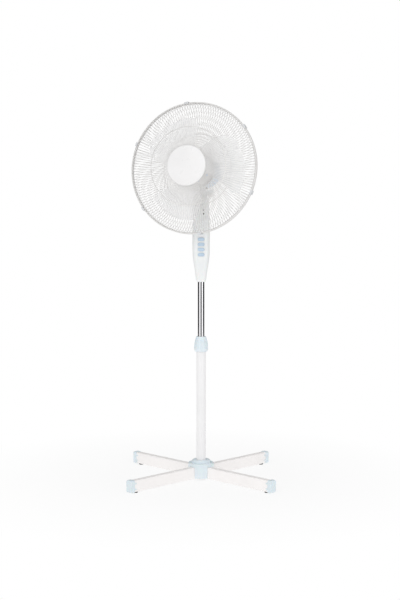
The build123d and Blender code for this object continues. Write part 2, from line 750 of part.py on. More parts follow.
# ---- motor: stator, windings, end shields ----
shield_radius = motor_above_pivot - saddle_top
winding_outer = 34.0
winding_inner = 21.5
winding_half_length = 21.0
slot_count = 16
with BuildPart() as stator_core:
    with BuildSketch(head_plane.offset(-stator_half_length)):
        Circle(stator_radius)
        Circle(rotor_radius + 0.4, mode=Mode.SUBTRACT)
        with PolarLocations((winding_outer + winding_inner) / 2, slot_count):
            Rectangle(winding_outer - winding_inner, 5, mode=Mode.SUBTRACT)
    extrude(amount=2 * stator_half_length)
stator_core.part.label = "stator_core"
export_step(stator_core.part, "parts/stator_core.step")

end_turn_inner = winding_inner + 1
end_turn_outer = winding_outer - 1
with BuildPart() as stator_windings:
    with BuildSketch(head_plane.offset(-stator_half_length)):
        with PolarLocations((winding_outer + winding_inner) / 2, slot_count):
            Rectangle(end_turn_outer - end_turn_inner, 4.4)
    extrude(amount=2 * stator_half_length)
    for start, length in ((stator_half_length, 7), (-stator_half_length, -7)):
        with BuildSketch(head_plane.offset(start)):
            Circle(end_turn_outer)
            Circle(end_turn_inner, mode=Mode.SUBTRACT)
        extrude(amount=length)
stator_windings.part.label = "stator_windings"
export_step(stator_windings.part, "parts/stator_windings.step")

shield_depth = 11.0
shield_plate = 2.5
bearing_radius = 8.0
rim_end = shield_face + shield_depth
with BuildPart() as front_end_shield:
    add(turned(head_profile, [
        (shaft_radius + running_fit, rim_end - 8), (bearing_radius, rim_end - 8),
        (bearing_radius, rim_end - shield_plate), (stator_radius - 2.5, rim_end - shield_plate),
        (stator_radius - 2.5, shield_face), (stator_radius + 0.4, shield_face), (stator_radius + 0.4, rim_end),
        (nose_radius, rim_end), (nose_radius, shell_front + 12),
        (shaft_radius + running_fit, shell_front + 12),
    ]))
front_end_shield.part.label = "front_end_shield"
export_step(front_end_shield.part, "parts/front_end_shield.step")

with BuildPart() as rear_end_shield:
    add(turned(head_profile, [
        (shaft_radius + running_fit, 8 - rim_end), (bearing_radius, 8 - rim_end),
        (bearing_radius, shield_plate - rim_end), (stator_radius - 2.5, shield_plate - rim_end),
        (stator_radius - 2.5, -shield_face), (stator_radius + 0.4, -shield_face),
        (stator_radius + 0.4, -rim_end), (shaft_radius + running_fit, -rim_end),
    ]))
rear_end_shield.part.label = "rear_end_shield"
export_step(rear_end_shield.part, "parts/rear_end_shield.step")

# ---- motor covers: a front ring with the guard seat, a vented rear dome ----
cover_hole = 11.0
with BuildPart() as motor_cover_front:
    add(turned(head_profile, [
        (shell_bore, shell_split), (shell_radius, shell_split), (shell_radius, shell_front - 2.5),
        (shell_radius - 2.5, shell_front), (nose_radius + 0.3, shell_front),
        (nose_radius + 0.3, shell_front - 2), (shell_bore, shell_front - 2),
    ]))
    with BuildSketch(swivel_plane):
        Circle(cover_hole)
    extrude(amount=saddle_top, mode=Mode.SUBTRACT)
motor_cover_front.part.label = "motor_cover_front"
export_step(motor_cover_front.part, "parts/motor_cover_front.step")

rear_shoulder = -62.0
rear_end = -84.0
rear_flat = 22.0
cover_wall = shell_radius - shell_bore
wheel_offset = worm_pitch_radius + gear_module * worm_teeth / 2
wheel_centre = (wheel_offset, -worm_station)
gear_distance = gear_module * (pinion_teeth + crank_teeth) / 2
crank_bearing = 167.0
crank_angle = radians(crank_bearing)
crank_centre = (wheel_offset + gear_distance * cos(crank_angle),
                -worm_station + gear_distance * sin(crank_angle))
with BuildPart() as motor_cover_rear:
    with BuildSketch(head_profile):
        with BuildLine():
            Line((shell_radius, shell_split), (shell_radius, rear_shoulder + 12))
            ThreePointArc((shell_radius, rear_shoulder + 12), (shell_radius - 7, rear_end + 9),
                          (rear_flat, rear_end))
            Line((rear_flat, rear_end), (0, rear_end))
            Line((0, rear_end), (0, rear_end + cover_wall))
            Line((0, rear_end + cover_wall), (rear_flat - 1, rear_end + cover_wall))
            ThreePointArc((rear_flat - 1, rear_end + cover_wall), (shell_bore - 7, rear_end + 10.6),
                          (shell_bore, rear_shoulder + 12))
            Line((shell_bore, rear_shoulder + 12), (shell_bore, shell_split))
            Line((shell_bore, shell_split), (shell_radius, shell_split))
        make_face()
    revolve(axis=Axis(motor_centre, forward))
    with BuildSketch(head_plane.offset(rear_end - 1)):
        with PolarLocations(12, 12):
            SlotOverall(12, 2.6)
    extrude(amount=4, mode=Mode.SUBTRACT)
    with BuildSketch(head_plane.offset(rear_end - 1)):
        with PolarLocations(31, 24):
            SlotOverall(12, 2.6)
    extrude(amount=16, mode=Mode.SUBTRACT)
    with BuildSketch(swivel_plane):
        Circle(cover_hole)
        with Locations(crank_centre):
            Circle(5)
    extrude(amount=saddle_top + 5, mode=Mode.SUBTRACT)
    with BuildSketch(swivel_plane.offset(motor_above_pivot)):
        with Locations(wheel_centre):
            Circle(4.5)
    extrude(amount=60, mode=Mode.SUBTRACT)
motor_cover_rear.part.label = "motor_cover_rear"
export_step(motor_cover_rear.part, "parts/motor_cover_rear.step")

# ---- gearbox: case on the rear shield, worm wheel, crank, link and clutch knob ----
case_bottom = 48.0
case_top = 86.0
case_wall = 2.0
case_near = -rim_end - 1.0
case_far = -61.0
case_left = -15.0
case_right = 31.0
wheel_bottom = motor_above_pivot - 3
wheel_top = motor_above_pivot + 3
pinion_bottom = 51.0
pinion_top = 60.0
crank_gear_bottom = 52.0
crank_gear_top = 57.0
post_radius = 2.0
knob_rod_radius = 2.0
case_centre = ((case_left + case_right) / 2, -(case_near + case_far) / 2)
case_size = (case_right - case_left, case_near - case_far)
with BuildPart() as gearbox_case:
    with BuildSketch(swivel_plane.offset(case_bottom)):
        with Locations(case_centre):
            RectangleRounded(*case_size, 3)
    extrude(amount=case_top - case_bottom)
    with BuildSketch(swivel_plane.offset(case_bottom + case_wall)):
        with Locations(case_centre):
            Rectangle(case_size[0] - 2 * case_wall, case_size[1] - 2 * case_wall)
    extrude(amount=case_top - case_bottom - 2 * case_wall, mode=Mode.SUBTRACT)
    with BuildSketch(swivel_plane.offset(case_bottom)):
        with Locations(crank_centre):
            Circle(3 + running_fit)
    extrude(amount=case_wall, mode=Mode.SUBTRACT)
    with BuildSketch(swivel_plane.offset(case_top)):
        with Locations(wheel_centre):
            Circle(knob_rod_radius + 0.1)
    extrude(amount=-case_wall, mode=Mode.SUBTRACT)
    with BuildSketch(head_plane.offset(case_near)):
        Circle(7)
    extrude(amount=-2 * case_wall, mode=Mode.SUBTRACT)
gearbox_case.part.label = "gearbox_case"
export_step(gearbox_case.part, "parts/gearbox_case.step")


def spur_gear(plane, centre, teeth, thickness, first_angle):
    """A straight-cut gear with slim trapezoid teeth, the first one at first_angle."""
    pitch_radius = gear_module * teeth / 2
    root = pitch_radius - 1.1 * gear_module
    tip = pitch_radius + 0.7 * gear_module
    root_half = 0.27 * pi * gear_module
    tip_half = 0.12 * pi * gear_module
    with BuildPart() as gear:
        with BuildSketch(plane):
            with Locations(centre):
                Circle(root)
                with PolarLocations(0, teeth, start_angle=first_angle):
                    Polygon((root - 0.3, -root_half), (tip, -tip_half), (tip, tip_half),
                            (root - 0.3, root_half), align=None)
        extrude(amount=thickness)
    return gear.part


wheel_to_worm = 180.0
with BuildPart() as worm_wheel:
    add(spur_gear(swivel_plane.offset(wheel_bottom), wheel_centre, worm_teeth, wheel_top - wheel_bottom,
                  wheel_to_worm))
    with BuildSketch(swivel_plane.offset(pinion_bottom - 0.5)):
        with Locations(wheel_centre):
            Circle(post_radius)
    extrude(amount=wheel_bottom - pinion_bottom + 0.5)
    add(spur_gear(swivel_plane.offset(pinion_bottom), wheel_centre, pinion_teeth,
                  pinion_top - pinion_bottom, crank_bearing))
    with BuildSketch(swivel_plane.offset(wheel_top)):
        with Locations(wheel_centre):
            Circle(4)
    extrude(amount=4)
    with BuildSketch(swivel_plane.offset(wheel_top + 4)):
        with Locations(wheel_centre):
            Circle(knob_rod_radius + 0.1)
    extrude(amount=-8, mode=Mode.SUBTRACT)
worm_wheel.part.label = "worm_wheel"
export_step(worm_wheel.part, "parts/worm_wheel.step")


def midpoint(first, second):
    """Halfway between two points of a sketch."""
    return ((first[0] + second[0]) / 2, (first[1] + second[1]) / 2)


# The neck's pin as the turned head sees it, and the crank's eye a link's length from it.
# The linkage is a closed loop, so it is opened here: the pin between crank and link is left out.
neck_bearing = radians(arm_bearing + turn_rest)
neck_pin = (arm_reach * cos(neck_bearing), arm_reach * sin(neck_bearing))
pin_distance = hypot(neck_pin[0] - crank_centre[0], neck_pin[1] - crank_centre[1])
pin_bearing = atan2(neck_pin[1] - crank_centre[1], neck_pin[0] - crank_centre[0])
throw_bearing = pin_bearing - acos((crank_throw ** 2 + pin_distance ** 2 - link_length ** 2)
                                   / (2 * crank_throw * pin_distance))
crank_pin = (crank_centre[0] + crank_throw * cos(throw_bearing),
             crank_centre[1] + crank_throw * sin(throw_bearing))
with BuildPart() as oscillation_crank:
    add(spur_gear(swivel_plane.offset(crank_gear_bottom), crank_centre, crank_teeth,
                  crank_gear_top - crank_gear_bottom, crank_bearing + 180 + 180 / crank_teeth))
    with BuildSketch(swivel_plane.offset(crank_bottom)):
        with Locations(crank_centre):
            Circle(3)
    extrude(amount=crank_gear_bottom - crank_bottom)
    with BuildSketch(swivel_plane.offset(crank_bottom)):
        with Locations(crank_centre):
            Circle(6)
        with Locations(crank_pin):
            Circle(5)
        SlotCenterPoint(midpoint(crank_centre, crank_pin), crank_pin, 8)
    extrude(amount=crank_top - crank_bottom)
oscillation_crank.part.label = "oscillation_crank"
export_step(oscillation_crank.part, "parts/oscillation_crank.step")

with BuildPart() as oscillation_link:
    with BuildSketch(swivel_plane.offset(link_bottom)):
        SlotCenterPoint(midpoint(crank_pin, neck_pin), neck_pin, 6)
        with Locations(crank_pin, neck_pin):
            Circle(4.2)
        with Locations(crank_pin, neck_pin):
            Circle(2 + running_fit, mode=Mode.SUBTRACT)
    extrude(amount=link_top - link_bottom)
oscillation_link.part.label = "oscillation_link"
export_step(oscillation_link.part, "parts/oscillation_link.step")

knob_bottom = 128.0
knob_top = 144.0
with BuildPart() as oscillation_knob:
    with BuildSketch(swivel_plane.offset(wheel_top + 1.5)):
        with Locations(wheel_centre):
            Circle(knob_rod_radius)
    extrude(amount=knob_bottom - wheel_top)
    with BuildSketch(swivel_plane.offset(knob_bottom)):
        with Locations(wheel_centre):
            Circle(9)
    extrude(amount=knob_top - knob_bottom)
    fillet(oscillation_knob.faces().sort_by(Axis(pivot, up))[-1].edges(), 2)
    with BuildSketch(swivel_plane.offset(knob_bottom)):
        with Locations(wheel_centre):
            with PolarLocations(9.6, 12):
                Circle(1.1)
    extrude(amount=knob_top - knob_bottom - 3, mode=Mode.SUBTRACT)
oscillation_knob.part.label = "oscillation_knob"
export_step(oscillation_knob.part, "parts/oscillation_knob.step")

# ---- rotor: shaft with a cut worm, laminated core, impeller, cross pin and nut ----
worm_root = worm_pitch_radius - 0.9 * gear_module
with BuildPart() as motor_shaft:
    with BuildSketch(head_plane.offset(-rim_end - 1.5)):
        Circle(shaft_radius)
    extrude(amount=shaft_front + rim_end + 1.5)
    with BuildSketch(head_plane.offset(case_far + 3)):
        Circle(worm_root)
    extrude(amount=-rim_end - 1.5 - case_far - 3)
motor_shaft.part.label = "motor_shaft"
export_step(motor_shaft.part, "parts/motor_shaft.step")

with BuildPart() as rotor_core:
    add(turned(head_profile, [
        (shaft_radius, -stator_half_length), (rotor_radius, -stator_half_length),
        (rotor_radius, stator_half_length), (shaft_radius, stator_half_length),
    ]))
    for start, length in ((stator_half_length, 3), (-stator_half_length, -3)):
        with BuildSketch(head_plane.offset(start)):
            Circle(rotor_radius - 1)
            Circle(rotor_radius - 6, mode=Mode.SUBTRACT)
        extrude(amount=length)
rotor_core.part.label = "rotor_core"
export_step(rotor_core.part, "parts/rotor_core.step")

# ---- impeller: a hub cup with three broad swept blades, leading edges to the rear ----
blade_directions = (7, 127, 247)
blade_middle = (hub_rear + hub_front) / 2
blade_slopes = ((20.0, 0.86), (95.0, 0.37), (176.0, 0.19))
blade_start = -118.0
blade_end = 92.0
blade_bulge = 9.0
blade_root = hub_cup_radius - 1.8


def polar(radius, degrees_from_middle):
    """A point of the blade outline, with the blade's middle direction along local X."""
    angle = radians(degrees_from_middle)
    return (radius * cos(angle), radius * sin(angle))


def blade(direction):
    """A broad twisted strip, steeper near the hub, trimmed to the blade's front outline."""
    turn = radians(direction)
    radial = side * cos(turn) + up * sin(turn)
    tangent = up * cos(turn) - side * sin(turn)
    middle = (blade_start + blade_end) / 2
    half = blade_thickness / 2
    with BuildPart() as strip:
        for reach, slope in blade_slopes:
            station = Plane(origin=motor_centre + forward * blade_middle + radial * reach,
                            x_dir=tangent, z_dir=radial)
            with BuildSketch(station):
                with BuildLine():
                    rear = ThreePointArc((blade_start, slope * blade_start - half),
                                         (middle, slope * middle - blade_bulge - half),
                                         (blade_end, slope * blade_end - half))
                    front = ThreePointArc((blade_start, slope * blade_start + half),
                                          (middle, slope * middle - blade_bulge + half),
                                          (blade_end, slope * blade_end + half))
                    Line(rear @ 0, front @ 0)
                    Line(rear @ 1, front @ 1)
                make_face()
        loft()
        with BuildSketch(Plane(origin=motor_centre, x_dir=radial, z_dir=forward)):
            with BuildLine():
                Spline(polar(blade_root, -26), polar(96, -35), polar(150, -42))
                RadiusArc(polar(150, -42), polar(blade_tip, -38), 14)
                ThreePointArc(polar(blade_tip, -38), polar(blade_tip, -8), polar(blade_tip, 19))
                Spline(polar(blade_tip, 19), polar(160, 30), polar(118, 41), polar(62, 49),
                       polar(blade_root, 55), tangents=[(-sin(radians(19)), cos(radians(19))), (-0.9, -0.4)])
                ThreePointArc(polar(blade_root, 55), polar(blade_root, 15), polar(blade_root, -26))
            make_face()
        extrude(amount=200, mode=Mode.INTERSECT)
    return strip.part


hub_inner_radius = hub_cup_radius - 2.6
with BuildPart() as fan_blade:
    add(turned(head_profile, [
        (shaft_radius, hub_rear + 6), (9, hub_rear + 6), (9, hub_front - 4),
        (hub_inner_radius, hub_front - 4), (hub_inner_radius, hub_rear), (hub_cup_radius, hub_rear),
        (hub_cup_radius - 1, hub_front - 5), (hub_cup_radius - 6, hub_front), (shaft_radius, hub_front),
    ]))
    with BuildSketch(head_plane.offset(hub_front - 4)):
        with PolarLocations((hub_inner_radius + 8) / 2, 6):
            Rectangle(hub_inner_radius - 7, 2)
    extrude(amount=-26)
    with BuildSketch(head_plane.offset(hub_rear + 6)):
        Rectangle(20, 3.2)
    extrude(amount=4, mode=Mode.SUBTRACT)
    for direction in blade_directions:
        add(blade(direction))
fan_blade.part.label = "fan_blade"
export_step(fan_blade.part, "parts/fan_blade.step")

pin_radius = 1.5
pin_station = hub_rear + 8.0
with BuildPart() as drive_pin:
    with BuildSketch(Plane(origin=motor_centre + forward * pin_station, x_dir=forward, z_dir=side)):
        Circle(pin_radius)
    extrude(amount=8.5, both=True)
    add(rod(head_plane.offset(hub_rear), shaft_radius, 40), mode=Mode.SUBTRACT)
drive_pin.part.label = "drive_pin"
export_step(drive_pin.part, "parts/drive_pin.step")

with BuildPart() as blade_nut:
    add(turned(head_profile, [
        (shaft_radius, hub_front), (17, hub_front), (17, hub_front + 5), (14.5, hub_front + 11),
        (8, hub_front + 15), (0, hub_front + 16), (0, shaft_front), (shaft_radius, shaft_front),
    ]))
    with BuildSketch(head_plane.offset(hub_front)):
        with PolarLocations(17.4, 12):
            Circle(1.4)
    extrude(amount=8, mode=Mode.SUBTRACT)
blade_nut.part.label = "blade_nut"
export_step(blade_nut.part, "parts/blade_nut.step")

# ---- guards: radial wires welded to a rim ring and two support rings ----
# The guards are drawn with the motor axis as Z, then laid on the head plane.
rear_wire_inner = 50.0
rear_wire_station = 30.6
rear_bend = 168.0
rear_bend_station = 38.4
front_wire_inner = 52.0
front_wire_station = 146.0
front_bend = 162.0
front_bend_station = 127.5
rim_step = 0.65             # how far inside the rim's middle a wire ends
rim_reach = ring_wire + weld_gap


def guard_wire(inner, bend, rim):
    """One wire: straight from the middle to the bend, then an arc round to the rim ring."""
    with BuildPart() as wire:
        with BuildLine(Plane.XZ) as path:
            spoke = Line(inner, bend)
            TangentArc(bend, rim, tangent=(bend[0] - inner[0], bend[1] - inner[1]))
        with BuildSketch(Plane(origin=spoke @ 0, z_dir=spoke % 0)):
            Circle(wire_radius)
        sweep(path=path.line)
    return wire.part


def ring_on_wires(inner, bend, radius):
    """Height at which a support ring touches the straight wires from behind."""
    slope = (bend[1] - inner[1]) / (bend[0] - inner[0])
    drop = (wire_radius + support_wire + weld_gap) * sqrt(1 + slope ** 2)
    return inner[1] + slope * (radius - inner[0]), drop


def guard(inner, bend, rim_station, wire_side, support_radii):
    """A whole guard: wires leave the rim on wire_side and the support rings lie inside."""
    rim = (ring_radius - rim_step, rim_station + wire_side * rim_reach)
    wire = guard_wire(inner, bend, rim)
    with BuildPart(head_plane) as grille:
        with PolarLocations(0, wire_count):
            add(wire)
        with Locations((0, 0, rim_station)):
            Torus(ring_radius, ring_wire)
        for radius in support_radii:
            station, drop = ring_on_wires(inner, bend, radius)
            with Locations((0, 0, station - wire_side * drop)):
                Torus(radius, support_wire)
    return grille.part


rear_inner = (rear_wire_inner, rear_wire_station)
rear_corner = (rear_bend, rear_bend_station)
plate_front = rear_wire_station - wire_radius - weld_gap
plate_rear = shell_front + 0.05
with BuildPart() as guard_plate:
    add(rod(head_plane.offset(plate_rear), 58, plate_front - plate_rear, bore=nose_radius + 0.3))
    with BuildSketch(head_plane.offset(plate_rear)):
        with PolarLocations(35, 6, start_angle=30):
            Circle(4)
    extrude(amount=plate_front - plate_rear, mode=Mode.SUBTRACT)

with BuildPart() as rear_guard:
    add(guard(rear_inner, rear_corner, rear_ring_station, -1, (118.0,)))
    add(guard_plate.part)
rear_guard.part.label = "rear_guard"
export_step(rear_guard.part, "parts/rear_guard.step")

front_inner = (front_wire_inner, front_wire_station)
front_corner = (front_bend, front_bend_station)
with BuildPart() as front_guard:
    add(guard(front_inner, front_corner, front_ring_station, 1, (54.5, 128.0)))
front_guard.part.label = "front_guard"
export_step(front_guard.part, "parts/front_guard.step")

nut_front = plate_front + 9.0
with BuildPart() as guard_nut:
    add(rod(head_plane.offset(plate_front), 23, nut_front - plate_front, bore=nose_radius))
    with BuildSketch(head_plane.offset(plate_front + 2)):
        with PolarLocations(23, 6):
            Circle(3.4)
    extrude(amount=9, mode=Mode.SUBTRACT)
guard_nut.part.label = "guard_nut"
export_step(guard_nut.part, "parts/guard_nut.step")

# ---- guard clips: six snap clips that hold the two rims together ----
clip_wall = 2.4
clip_width = 14.0
clip_inner = ring_radius + ring_wire + 0.15
clip_rear = rear_ring_station - ring_wire - 0.15
clip_front = front_ring_station + ring_wire + 0.15
clip_lip = ring_radius + 0.8
first_clip = 36.0
with BuildPart() as clip:
    with BuildSketch(Plane.XZ):
        with BuildLine():
            Polyline((clip_inner, clip_rear), (clip_inner, clip_front), (clip_lip, clip_front),
                     (clip_lip - 1.5, clip_front + clip_wall), (clip_inner + 1, clip_front + clip_wall),
                     (clip_inner + clip_wall, clip_front + 1), (clip_inner + clip_wall, clip_rear - 1),
                     (clip_inner + 1, clip_rear - clip_wall), (clip_lip - 1.5, clip_rear - clip_wall),
                     (clip_lip, clip_rear), close=True)
        make_face()
    extrude(amount=clip_width / 2, both=True)

with BuildPart(head_plane) as guard_clips:
    with PolarLocations(0, 6, start_angle=first_clip):
        add(clip.part)
guard_clips.part.label = "guard_clips"
export_step(guard_clips.part, "parts/guard_clips.step")

# ---- centre cap and the plate behind the wires that it is screwed to ----
retainer_front = 141.6
retainer_back = 139.6
cap_boss_circle = 40.0
cap_skirt = 146.2
with BuildPart() as centre_cap:
    with BuildSketch(head_profile):
        with BuildLine():
            ThreePointArc((0, cap_front), (30, cap_front - 0.7), (cap_radius - 3.5, cap_front - 2.6))
            ThreePointArc((cap_radius - 3.5, cap_front - 2.6), (cap_radius - 0.8, cap_front - 3.8),
                          (cap_radius, cap_front - 5))
            Polyline((cap_radius, cap_front - 5), (cap_radius, cap_skirt), (cap_radius - 1.8, cap_skirt),
                     (cap_radius - 1.8, cap_front - 4.8), (cap_radius - 4.5, cap_front - 4.4),
                     (0, cap_front - 2.2), (0, cap_front))
        make_face()
    revolve(axis=Axis(motor_centre, forward))
    with BuildSketch(head_plane.offset(retainer_front)):
        with PolarLocations(cap_boss_circle, 3, start_angle=90):
            Circle(4)
    extrude(amount=cap_front - 3.4 - retainer_front)
    with BuildSketch(head_plane.offset(retainer_front)):
        with PolarLocations(cap_boss_circle, 3, start_angle=90):
            Circle(1.5)
    extrude(amount=5, mode=Mode.SUBTRACT)
centre_cap.part.label = "centre_cap"
export_step(centre_cap.part, "parts/centre_cap.step")

with BuildPart() as cap_retainer:
    add(rod(head_plane.offset(retainer_back), 58, retainer_front - retainer_back, bore=22))
    with BuildSketch(head_plane.offset(retainer_back)):
        with PolarLocations(cap_boss_circle, 3, start_angle=90):
            Circle(1.6)
    extrude(amount=retainer_front - retainer_back, mode=Mode.SUBTRACT)
cap_retainer.part.label = "cap_retainer"
export_step(cap_retainer.part, "parts/cap_retainer.step")

with BuildPart() as cap_screw:
    add(screw(Plane(origin=(0, 0, 0), x_dir=(1, 0, 0), z_dir=(0, 0, -1)), 1.5, 6, 3, 1.8))

with BuildPart(head_plane) as cap_screws:
    with Locations((0, 0, retainer_back)):
        with PolarLocations(cap_boss_circle, 3, start_angle=90):
            add(cap_screw.part)
cap_screws.part.label = "cap_screws"
export_step(cap_screws.part, "parts/cap_screws.step")
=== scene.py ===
import json
from math import cos, pi, radians, sin

import bmesh
import bpy
from mathutils import Matrix, Vector


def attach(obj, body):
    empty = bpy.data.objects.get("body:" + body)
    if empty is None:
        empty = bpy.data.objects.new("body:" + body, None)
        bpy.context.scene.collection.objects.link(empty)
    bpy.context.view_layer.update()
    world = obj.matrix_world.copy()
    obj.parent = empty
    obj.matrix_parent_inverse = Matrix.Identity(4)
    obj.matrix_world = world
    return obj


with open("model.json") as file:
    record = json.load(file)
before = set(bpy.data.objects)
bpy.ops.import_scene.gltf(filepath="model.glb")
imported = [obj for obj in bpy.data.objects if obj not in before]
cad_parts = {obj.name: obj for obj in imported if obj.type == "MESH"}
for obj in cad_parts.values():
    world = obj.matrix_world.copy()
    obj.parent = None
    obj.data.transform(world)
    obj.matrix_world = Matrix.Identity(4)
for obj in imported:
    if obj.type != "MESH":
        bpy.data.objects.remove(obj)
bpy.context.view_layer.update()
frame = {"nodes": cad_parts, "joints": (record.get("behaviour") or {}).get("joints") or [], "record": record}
nodes = frame["nodes"]
scene = bpy.context.scene

# ---------------------------------------------------------------- camera and studio
CAMERA_DISTANCE = 4.34       # in front of the pole
CAMERA_HEIGHT = 0.994
CAMERA_OFFSET = -0.0037      # the pole stands a little right of the middle
CAMERA_PITCH = 5.13          # degrees below level
LENS_MM = 78.1
SENSOR_MM = 36.0
CLIP_START = 0.05
CLIP_END = 200.0
LIGHT_TARGET = (0, 0, 0.7)
KEY_WATTS = 34
FILL_WATTS = 14
WORLD_STRENGTH = 0.78        # surroundings as they light the fan
BACKDROP_STRENGTH = 1.0      # surroundings as the camera sees them, also through clear plastic
ROOM_FRONT = (0.11, 0.11, 0.112)
ROOM_BACK = (0.08, 0.08, 0.085)
# Upright bands of the studio that polished surfaces mirror: how far round from the camera's
# side they lie, as a share of a half turn, and how bright they are.
ROOM_BANDS = ((0.12, 0.15), (0.17, 1.2), (0.22, 1.9), (0.3, 1.7), (0.35, 0.3), (0.42, 0.06))
FLOOR_RADIUS = 3.6
FLOOR_FADE_START = 0.27      # distance from the pole at which the paper begins to glow white
FLOOR_FADE_END = 0.9
FLOOR_GLOW = 0.75            # share of plain white already at the middle
FLOOR_SIDES = 96

camera_data = bpy.data.cameras.new("camera")
camera_data.lens = LENS_MM
camera_data.sensor_width = SENSOR_MM
camera_data.sensor_fit = "AUTO"
camera_data.clip_start = CLIP_START
camera_data.clip_end = CLIP_END
camera = bpy.data.objects.new("camera", camera_data)
camera.location = (CAMERA_OFFSET, -CAMERA_DISTANCE, CAMERA_HEIGHT)
camera.rotation_euler = (radians(90 - CAMERA_PITCH), 0, 0)
scene.collection.objects.link(camera)
scene.camera = camera
scene.view_settings.view_transform = "Standard"


def soft_light(name, place, target, width, height, power):
    """A large rectangular studio light aimed at a point."""
    data = bpy.data.lights.new(name, "AREA")
    data.shape = "RECTANGLE"
    data.size = width
    data.size_y = height
    data.energy = power
    light = bpy.data.objects.new(name, data)
    light.location = place
    light.rotation_euler = (Vector(target) - Vector(place)).to_track_quat("-Z", "Y").to_euler()
    scene.collection.objects.link(light)


soft_light("key_light", (-1.6, -3.6, 2.4), LIGHT_TARGET, 1.8, 2.4, KEY_WATTS)
soft_light("fill_light", (2.2, -3.2, 1.5), LIGHT_TARGET, 1.4, 2.2, FILL_WATTS)


def build_world():
    """White surroundings; glossy surfaces also see the studio's darker flags as upright bands."""
    world = bpy.data.worlds.new("studio")
    scene.world = world
    world.use_nodes = True
    tree = world.node_tree
    tree.nodes.clear()
    join = tree.links.new

    def background(strength):
        node = tree.nodes.new("ShaderNodeBackground")
        node.inputs["Color"].default_value = (1, 1, 1, 1)
        node.inputs["Strength"].default_value = strength
        return node

    def maths(operation, first, second=None):
        """One step of arithmetic; the second input may be a socket or a constant."""
        node = tree.nodes.new("ShaderNodeMath")
        node.operation = operation
        join(first, node.inputs[0])
        if isinstance(second, float):
            node.inputs[1].default_value = second
        elif second is not None:
            join(second, node.inputs[1])
        return node.outputs[0]

    def choose(share, first, second):
        """The first surroundings where share is 0 and the second where it is 1."""
        node = tree.nodes.new("ShaderNodeMixShader")
        join(share, node.inputs["Fac"])
        join(first.outputs[0], node.inputs[1])
        join(second.outputs[0], node.inputs[2])
        return node

    ways = tree.nodes.new("ShaderNodeTexCoord")
    split = tree.nodes.new("ShaderNodeSeparateXYZ")
    join(ways.outputs["Generated"], split.inputs["Vector"])
    forwards = maths("MULTIPLY", split.outputs["Y"], -1.0)
    turn = maths("ABSOLUTE", maths("ARCTAN2", split.outputs["X"], forwards))
    bands = tree.nodes.new("ShaderNodeValToRGB")
    join(maths("DIVIDE", turn, pi), bands.inputs["Fac"])
    ramp = bands.color_ramp
    ramp.elements[0].color = (*ROOM_FRONT, 1)
    ramp.elements[1].color = (*ROOM_BACK, 1)
    for position, level in ROOM_BANDS:
        ramp.elements.new(position).color = (level, level, level * 1.01, 1)
    room = background(1.0)
    join(bands.outputs["Color"], room.inputs["Color"])

    path = tree.nodes.new("ShaderNodeLightPath")
    lighting = choose(path.outputs["Is Glossy Ray"], background(WORLD_STRENGTH), room)
    seen = maths("MAXIMUM", path.outputs["Is Camera Ray"], path.outputs["Is Transmission Ray"])
    output = tree.nodes.new("ShaderNodeOutputWorld")
    join(choose(seen, lighting, background(BACKDROP_STRENGTH)).outputs[0], output.inputs["Surface"])


build_world()


